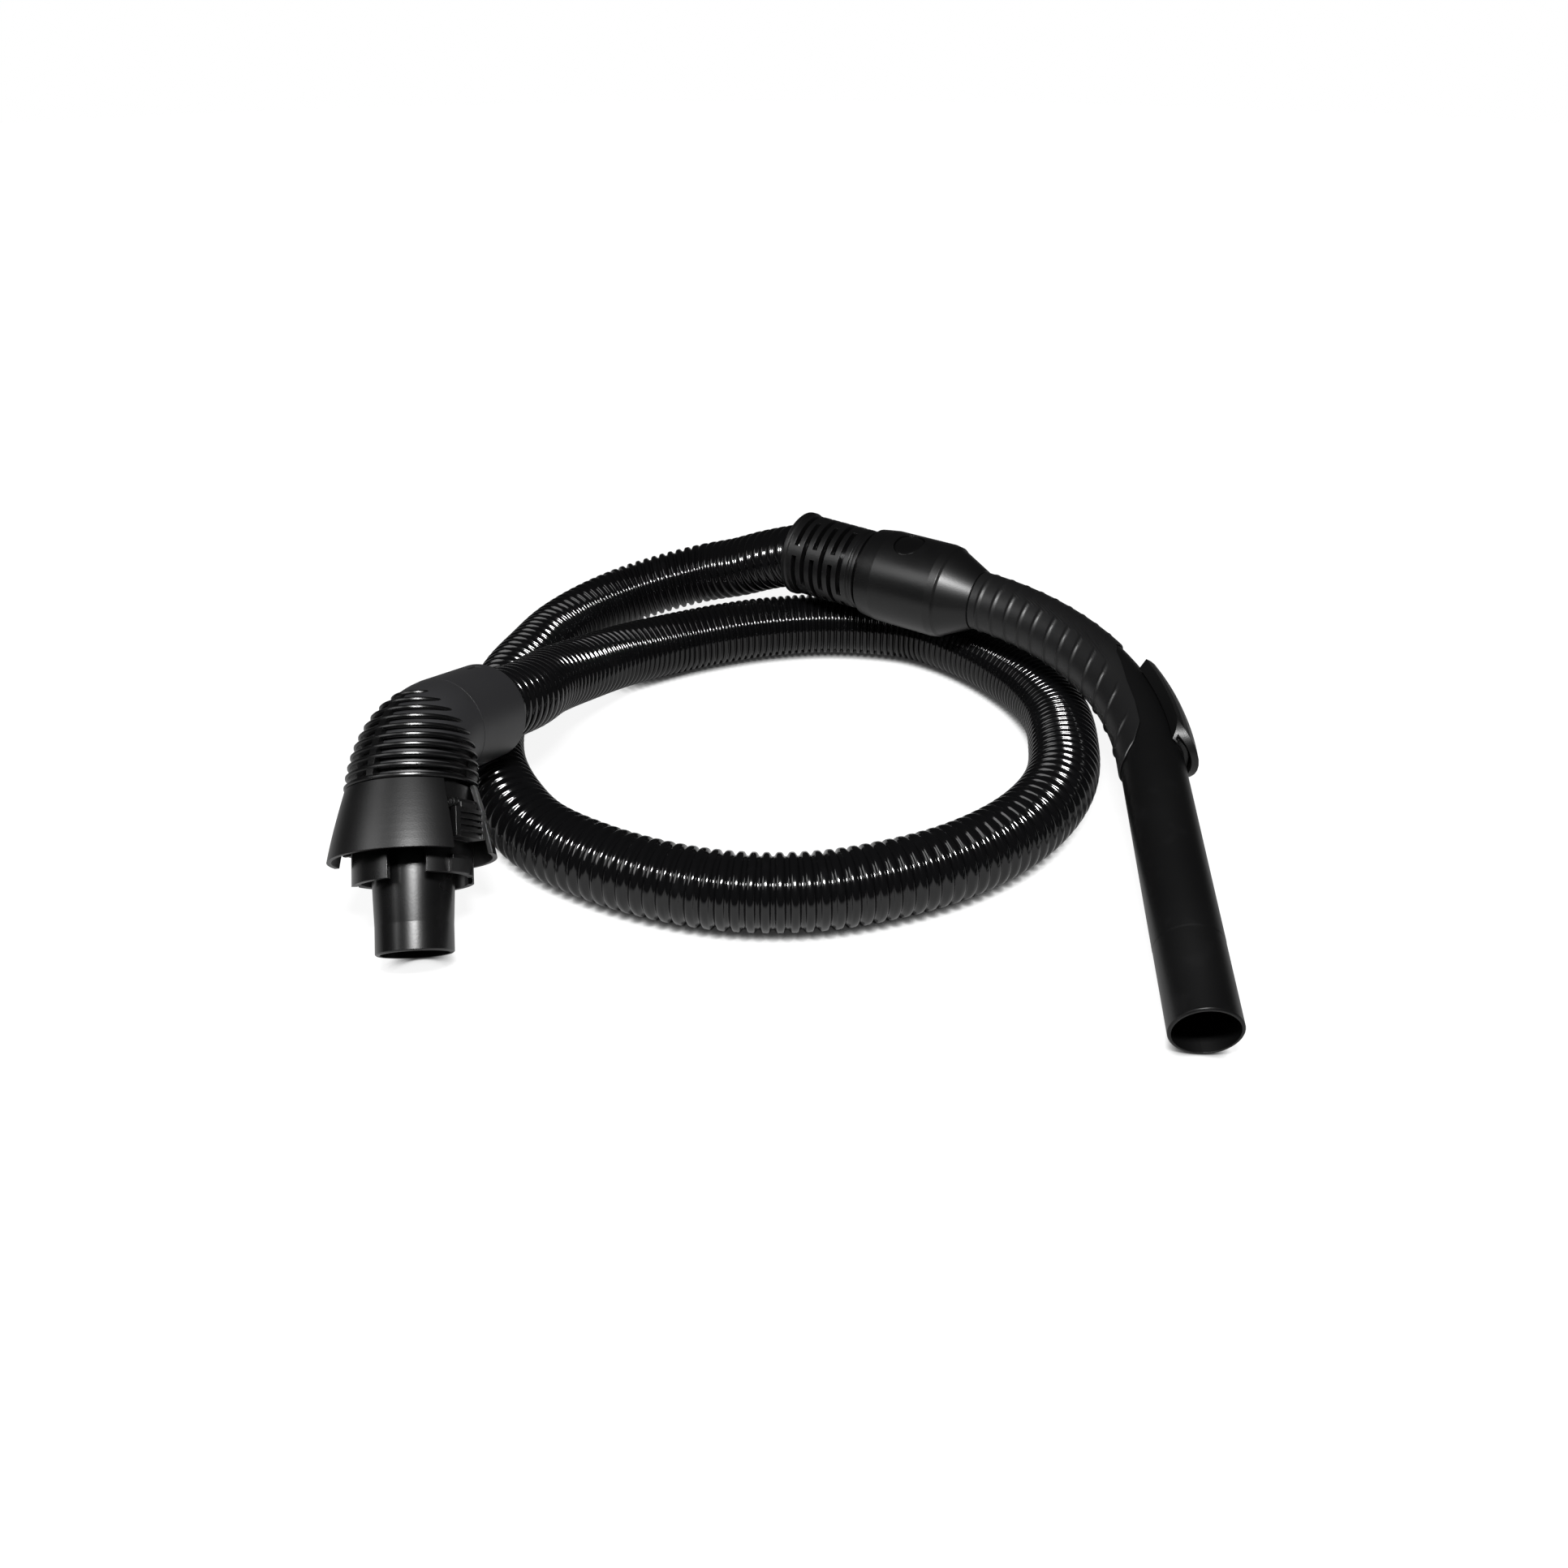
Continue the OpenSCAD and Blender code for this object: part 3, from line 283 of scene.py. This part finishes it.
# ---- hose ----
HOSE_D = 39
LIE = HOSE_D / 2
BORE_R = 15.5
ROUTE = (
    [CUFF @ Vector((0, 0, d)) for d in (36.5, 56, 75.5)]
    + [Vector(p) + HOME for p in (
        (-142, 28, 52), (-136, 62, 42), (-123, 96, 32), (-102, 130, 24), (-73, 156, LIE),
        (-41, 171, LIE), (-10, 181, LIE), (24, 186, LIE), (56, 184, LIE), (86, 176, LIE),
        (110, 158, LIE), (132, 132, LIE), (150, 99, LIE), (159, 62, LIE), (157, 25, LIE),
        (150, -7, LIE), (136, -35, LIE), (114, -61, LIE), (84, -83, LIE), (50, -98, LIE),
        (14, -107, LIE), (-24, -107, LIE), (-60, -98, LIE), (-94, -82, LIE), (-124, -60, LIE),
        (-145, -30, LIE), (-160, 3, LIE), (-168, 38, LIE), (-170, 75, LIE), (-167, 110, LIE),
        (-159, 141, LIE), (-149, 173, LIE), (-131, 201, 21), (-106, 221, 25), (-78, 227, 32),
        (-53, 228, 38), (-30, 219, 46), (-8, 206, 57))]
    + [HANDLE @ Vector((x, 0, 0)) for x in (5, 24.5, 44)]
)
# parts of the line between two points of the route
LINE_PARTS = 24
# how far to each side the line is read to find its direction
NEAR = 2
# length along the hose, and how far apart the ribs lie there: it is pushed together behind, where
# it passes itself, and drawn out in front
RIB_SPACING = (
    (0, 6.8), (80, 6.1), (120, 5.3), (160, 4.9), (200, 4.5), (250, 4.4), (320, 4.7), (400, 5.0),
    (440, 4.9), (480, 4.4), (520, 4.2), (560, 5.0), (600, 6.0), (640, 6.5), (700, 6.3), (760, 6.4),
    (960, 6.6), (1080, 6.4), (1160, 5.9), (1240, 5.4), (1280, 5.6), (1320, 6.5), (1420, 6.8))
# half a rib, from its crest: share of the spacing, and depth below the crest
RIB_SIDE = ((0.09, 0), (0.2, 0.2), (0.3, 0.95), (0.41, 2.0))
RIB = [(-share, depth) for share, depth in reversed(RIB_SIDE)] + list(RIB_SIDE)
# depth below the crests at the hose's two ends
END_DEPTH = 2.1
HOSE_ANGLES = circle(44)
BORE_PARTS = 100
CORD_PARTS = 400


def smooth_line(route):
    """A cubic between each two points of the route, with the end directions kept."""
    last = len(route) - 1

    def slope(k):
        if k == 0:
            return route[1] - route[0]
        if k == last:
            return route[k] - route[k - 1]
        return (route[k + 1] - route[k - 1]) / 2

    line = []
    for k in range(last):
        for i in range(LINE_PARTS):
            u = i / LINE_PARTS
            line.append((2 * u**3 - 3 * u**2 + 1) * route[k]
                        + (u**3 - 2 * u**2 + u) * slope(k)
                        + (3 * u**2 - 2 * u**3) * route[k + 1]
                        + (u**3 - u**2) * slope(k + 1))
    return line + [route[-1]]


class Line:
    """A polyline that is read by its length."""

    def __init__(self, points):
        self.points = points
        self.lengths = [0.0]
        for a, b in zip(points, points[1:]):
            self.lengths.append(self.lengths[-1] + (b - a).length)
        self.total = self.lengths[-1]
        # the part that was read last: the search for the next one starts there
        self.at_k = 0

    def at(self, s):
        """The point at a length, or the end beyond it."""
        s = min(max(s, 0), self.total)
        k = self.at_k
        while k > 0 and self.lengths[k] > s:
            k -= 1
        while k < len(self.points) - 2 and self.lengths[k + 1] < s:
            k += 1
        self.at_k = k
        share = (s - self.lengths[k]) / (self.lengths[k + 1] - self.lengths[k])
        return self.points[k].lerp(self.points[k + 1], share)

    def frame(self, s):
        """Centre, the way across and the way up, square to the line."""
        along = (self.at(s + NEAR) - self.at(s - NEAR)).normalized()
        across = Vector((0, 0, 1)).cross(along).normalized()
        return self.at(s), across, along.cross(across)


hose_line = Line(smooth_line(ROUTE))


def hose_ring(s, r):
    centre, across, up = hose_line.frame(s)
    return [centre + r * (math.sin(a) * across - math.cos(a) * up) for a in HOSE_ANGLES]


def looked_up(value, table):
    """A value read from a table of pairs, straight between its rows."""
    for (a, low), (b, high) in zip(table, table[1:]):
        if value <= b:
            return low + (high - low) * (value - a) / (b - a)
    return table[-1][1]


def rib_edges():
    """Lengths along the hose where one rib ends and the next begins."""
    edges = [0.0]
    while edges[-1] < hose_line.total:
        edges.append(edges[-1] + looked_up(edges[-1], RIB_SPACING))
    fit = hose_line.total / edges[-1]
    return [edge * fit for edge in edges]


def make_hose():
    total = hose_line.total
    edges = rib_edges()
    rings = [hose_ring(0, LIE - END_DEPTH)]
    rings += [hose_ring(low + (high - low) * (0.5 + share), LIE - depth)
              for low, high in zip(edges, edges[1:]) for share, depth in RIB]
    rings += [hose_ring(total, LIE - END_DEPTH)]
    rings += [hose_ring(total * (1 - i / BORE_PARTS), BORE_R) for i in range(BORE_PARTS + 1)]
    hose = ringed("hose_ribbed", rings, "hose_and_fixed_ends", hose_gloss)
    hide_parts("hose")
    centre = [MM * hose_line.at(total * i / CORD_PARTS) for i in range(CORD_PARTS + 1)]


make_hose()

# ---- grip ----
GRIP_R = 17.3
GRIP_BORE_R = 16.3
GRIP_START = 7.1
# how far the rims of the two end faces are set in
START_INSET = 0.3
END_INSET = 0.35
# share of the cover's length that the rounded edge at its start takes up, and that the outside does
EDGE_SHARE = 0.002
OUTSIDE_SHARE = 0.994
GRIP_ANGLES = circle(84)
OUTSIDE_PARTS = 340
GRIP_BORE_PARTS = 40
# each ridge's place along the bend, and how far it leans on along the inner side
RIDGES = ((14, 1), (24.4, 1.7), (34.8, 2.5), (45.1, 3.3), (55.5, 4), (66.7, 5.7), (77.8, 7.3),
          (89, 9), (102, 12), (115, 15), (131, 18), (149, 24))
RIDGE_HEIGHT = 0.8
RIDGE_FOOT = 1.9
# a ridge's share of that height half way round, and what the inner side adds to it
MEAN_LIFT = 0.65
INNER_LIFT = 0.35
# the last ridges are slashes, each shorter than the one before, with ends that fade out
SLASHES = 3
SLASH_END = 0.35
SLASH_STEP = 0.14
SLASH_FADE = 30
# the cover's end: angle round the pipe from the bend's outer side, and length from the bend's end
GRIP_END = ((0, -82), (60, -77), (78, -69), (98, -45), (107, -10), (125, 3), (150, 9), (180, 11))


def grip_reach(t):
    """Where the cover starts and ends along the bend, for an angle round the pipe."""
    start = BEND_RADIUS * math.asin(GRIP_START / (BEND_RADIUS + GRIP_R * math.cos(t)))
    folded = 180 - abs(math.degrees(t) % 360 - 180)
    return start, BEND_LENGTH + looked_up(folded, GRIP_END)


def ridge_lift(length, t):
    """Height of the wave ridges; the last ones are short slashes on the inner side of the bend."""
    best = 0.0
    for i, (place, lean) in enumerate(RIDGES):
        d = (length - place + lean * math.cos(t)) / RIDGE_FOOT
        if abs(d) >= 1:
            continue
        lift = 0.5 * (1 + math.cos(math.pi * d))
        past = i - len(RIDGES) + SLASHES
        if past >= 0:
            lift *= 1 / (1 + math.exp((math.cos(t) + SLASH_END + SLASH_STEP * past) * SLASH_FADE))
        else:
            lift *= MEAN_LIFT - INNER_LIFT * math.cos(t)
        best = max(best, lift)
    return RIDGE_HEIGHT * best


def grip_ring(share, base, ridged=False):
    """A ring round the pipe at one share of the cover's length, which is not the same all round."""
    points = []
    for t in GRIP_ANGLES:
        start, end = grip_reach(t)
        length = start + (end - start) * share
        r = base + ridge_lift(length, t) if ridged else base
        points.append(on_bend(length) @ Vector((0, r * math.cos(t), r * math.sin(t))))
    return points


def make_grip():
    rings = [grip_ring(0, GRIP_R - START_INSET)]
    rings += [grip_ring(EDGE_SHARE + OUTSIDE_SHARE * k / OUTSIDE_PARTS, GRIP_R, ridged=True)
              for k in range(OUTSIDE_PARTS + 1)]
    rings += [grip_ring(1, GRIP_R - END_INSET)]
    rings += [grip_ring(1 - k / GRIP_BORE_PARTS, GRIP_BORE_R) for k in range(GRIP_BORE_PARTS + 1)]
    grip = ringed("grip_ridged", rings, "handle", grip_soft)
    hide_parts("grip_cover")


make_grip()

# ---- lock button ----
BUTTON_X = 80.9
BUTTON_R = 8.5
BUTTON_STRETCH = 4
# radius of the curved top about the housing's axis, and thickness of the cap in its middle
BUTTON_TOP = 28
BUTTON_CAP = 2.4
BUTTON_UNDER = BUTTON_TOP - BUTTON_CAP
# rings of the cap: how far in from the edge, and height over the top's curve
BUTTON_RINGS = ((0, -1), (0.1, -0.6), (0.35, -0.25), (0.8, 0), (2, 0.2), (4, 0.35), (6.5, 0.4))
STEM_R = 3
STEM_END = 17.3
BUTTON_ANGLES = circle(64)
# how quickly the outline's two round ends are drawn apart, from the middle of its sides on
STRETCH_SLOPE = 6


def button_ring(inset, height):
    """The button's long round outline, set in, at a height over the top's curve."""
    points = []
    for a in BUTTON_ANGLES:
        stretch = BUTTON_STRETCH / 2 * max(-1, min(1, STRETCH_SLOPE * math.sin(a)))
        x = (BUTTON_R - inset) * math.cos(a)
        y = (BUTTON_R - inset) * math.sin(a) + stretch
        z = max(BUTTON_UNDER, math.sqrt(BUTTON_TOP**2 - y**2) + height)
        points.append(HANDLE @ Vector((BUTTON_X + x, y, z)))
    return points


def stem_ring(z):
    return [HANDLE @ Vector((BUTTON_X + STEM_R * math.cos(a), STEM_R * math.sin(a), z))
            for a in BUTTON_ANGLES]


def make_button():
    rings = [stem_ring(STEM_END), stem_ring(BUTTON_UNDER)]
    # the underside's rim: lowered so far that all of it lies at BUTTON_UNDER
    rings += [button_ring(0, -BUTTON_TOP)]
    rings += [button_ring(inset, height) for inset, height in BUTTON_RINGS]
    button = ringed("button_domed", rings, "button", button_satin, capped=True)
    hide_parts("lock_button")


make_button()

# ---- materials of the carried-over pieces ----
FINISH = (
    (cuff_matte, ("elbow_pipe", "socket_tab")),
    (hood_satin, ("elbow_hood",)),
    (hose_gloss, ("hose_socket_inlet", "hose_socket_handle")),
    (pipe_semigloss, ("inlet_pipe",)),
    (wand_satin, ("handle_pipe",)),
    (seal_soft, ("leg_seal", "neck_seal")),
    (spring_steel, ("retaining_clip", "neck_clip", "latch_pins", "latch_spring_right",
                    "latch_spring_left", "lock_spring")),
    (body_satin, ("latch_collar", "front_skirt", "rear_skirt", "release_lever_right",
                  "release_lever_left", "slotted_cuff", "handle_housing", "pipe_pins",
                  "slider_seat", "air_slider")),
)
for skin, nodes in FINISH:
    for node in nodes:
        cad[node].data.materials.clear()
        cad[node].data.materials.append(skin)

# ---- floor, backdrop and light ----
FLOOR_RADIUS = 4
FLOOR_GREY = (0.14, 0.14, 0.14, 1)
# how strongly the white of the floor and of the backdrop shows in a gloss
FLOOR_IN_GLOSS = 0.16
SKY_IN_GLOSS = 0.025
# how much light the backdrop throws on the object
SKY_LIGHT = 0.15
# how close the hose has to be to the floor for the painted contact shadow, in metres
PAINTED_SHADOW_REACH = 0.006


def seen_mask(tree, glossy_share):
    """1 for what the camera sees, also through clear things, and glossy_share in a gloss."""
    path = tree.nodes.new("ShaderNodeLightPath").outputs
    mask = calculated(tree, "MULTIPLY", path["Is Glossy Ray"], glossy_share)
    for label in ("Is Camera Ray", "Is Transmission Ray"):
        mask = calculated(tree, "MAXIMUM", mask, path[label])
    return mask


def make_floor():
    """A white floor that keeps a faint shadow, and a painted contact shadow where the hose touches
    it.
    """
    paint, tree, shader = new_skin("floor_white")
    away = tree.nodes.new("ShaderNodeVectorMath")
    away.operation = "LENGTH"
    feed(tree, away.inputs[0], tree.nodes.new("ShaderNodeTexCoord").outputs["Object"])
    distance = away.outputs["Value"]
    # ambient occlusion finds where the hose lies close above the floor, for a painted contact
    # shadow
    painted_shadow_probe = tree.nodes.new("ShaderNodeAmbientOcclusion")
    painted_shadow_probe.samples = 8
    painted_shadow_probe.inputs["Distance"].default_value = PAINTED_SHADOW_REACH
    mask = seen_mask(tree, FLOOR_IN_GLOSS)
    # further out the floor throws up less light, and is a purer white
    bounce = ranged(tree, distance, 0.2, 0.6, 0.32, 0.05)
    white = ranged(tree, distance, 0.3, 0.9, 0.9, 1.0)
    # painted contact shadow: the floor's glow drops nearly to black where the hose is close above
    # it
    painted_contact_shadow = ranged(tree, painted_shadow_probe.outputs["AO"], 0.35, 0.9, 0.03, 1.0)
    glow = calculated(tree, "MULTIPLY", mask, white)
    feed(tree, shader["Base Color"], mixed(tree, mask, bounce, FLOOR_GREY))
    feed(tree, shader["Roughness"], 0.9)
    feed(tree, shader["Specular IOR Level"], 0.0)
    feed(tree, shader["Emission Color"], (1, 1, 1, 1))
    feed(tree, shader["Emission Strength"], calculated(tree, "MULTIPLY", glow, painted_contact_shadow))
    bm = bmesh.new()
    bmesh.ops.create_circle(bm, cap_ends=True, segments=96, radius=FLOOR_RADIUS)
    floor = placed(bm, "floor", paint, smooth=False)


def make_world():
    """A white backdrop that lights the object only a little."""
    world = bpy.data.worlds.new("studio")
    scene.world = world
    world.use_nodes = True
    tree = world.node_tree
    sky = tree.nodes["Background"].inputs
    glossy = tree.nodes.new("ShaderNodeLightPath").outputs["Is Glossy Ray"]
    light = mixed(tree, glossy, SKY_LIGHT, SKY_IN_GLOSS, "FLOAT")
    feed(tree, sky["Color"], (1, 1, 1, 1))
    feed(tree, sky["Strength"], mixed(tree, seen_mask(tree, 0.0), light, 1.0, "FLOAT"))


def lamp(name, place, aim, size, power):
    """A rectangular lamp that is turned towards a point."""
    light = bpy.data.lights.new(name, "AREA")
    light.shape = "RECTANGLE"
    light.size, light.size_y = size
    light.energy = power
    holder = bpy.data.objects.new(name, light)
    scene.collection.objects.link(holder)
    holder.location = place
    holder.rotation_euler = (Vector(aim) - Vector(place)).to_track_quat("-Z", "Y").to_euler()


make_floor()
make_world()
lamp("key", (0, -0.55, 0.82), (0, 0, 0), (0.3, 0.1), 17)
lamp("left", (-0.9, -0.4, 0.9), (0, 0, 0.05), (0.7, 0.5), 4)

scene.view_settings.view_transform = "Standard"
